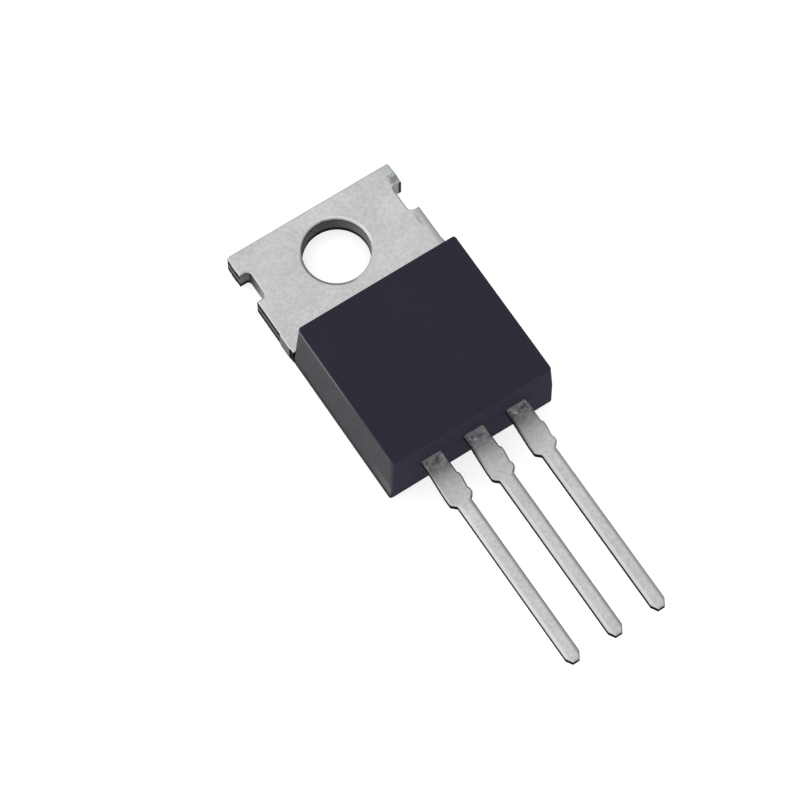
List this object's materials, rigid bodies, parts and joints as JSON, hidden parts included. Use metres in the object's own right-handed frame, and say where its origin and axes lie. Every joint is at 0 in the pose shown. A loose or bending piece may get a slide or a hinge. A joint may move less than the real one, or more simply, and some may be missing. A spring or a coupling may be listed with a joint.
{
  "type": "power mosfet",
  "caption": "Through-hole power transistor: black moulded body on a drilled metal heat tab, with flat leads in a row at one end.",
  "frame": {"origin": "axis of the mounting hole, in the mounting face at the back of the metal tab", "axes": "+Z out of the moulding's front face, +Y towards the end of the tab with the leads towards -Y, X across the width"},
  "size_m": [0.01, 0.0285, 0.0044],
  "materials": {
    "tinned_copper": "matte tin plate on copper, fine satin grain, darker sheared edges",
    "epoxy_moulding": "matte black filled epoxy, fine eroded texture",
    "solder": "dull grey solder",
    "silicon": "polished dark grey silicon with aluminium pads",
    "bond_aluminium": "bright drawn aluminium"
  },
  "bodies": {
    "root": {"drain_header": "tinned_copper", "gate_lead": "tinned_copper", "source_lead": "tinned_copper", "die_solder": "solder", "mosfet_die": "silicon", "gate_wire": "bond_aluminium", "source_wire": "bond_aluminium", "moulded_body": "epoxy_moulding"}
  },
  "joints": []
}
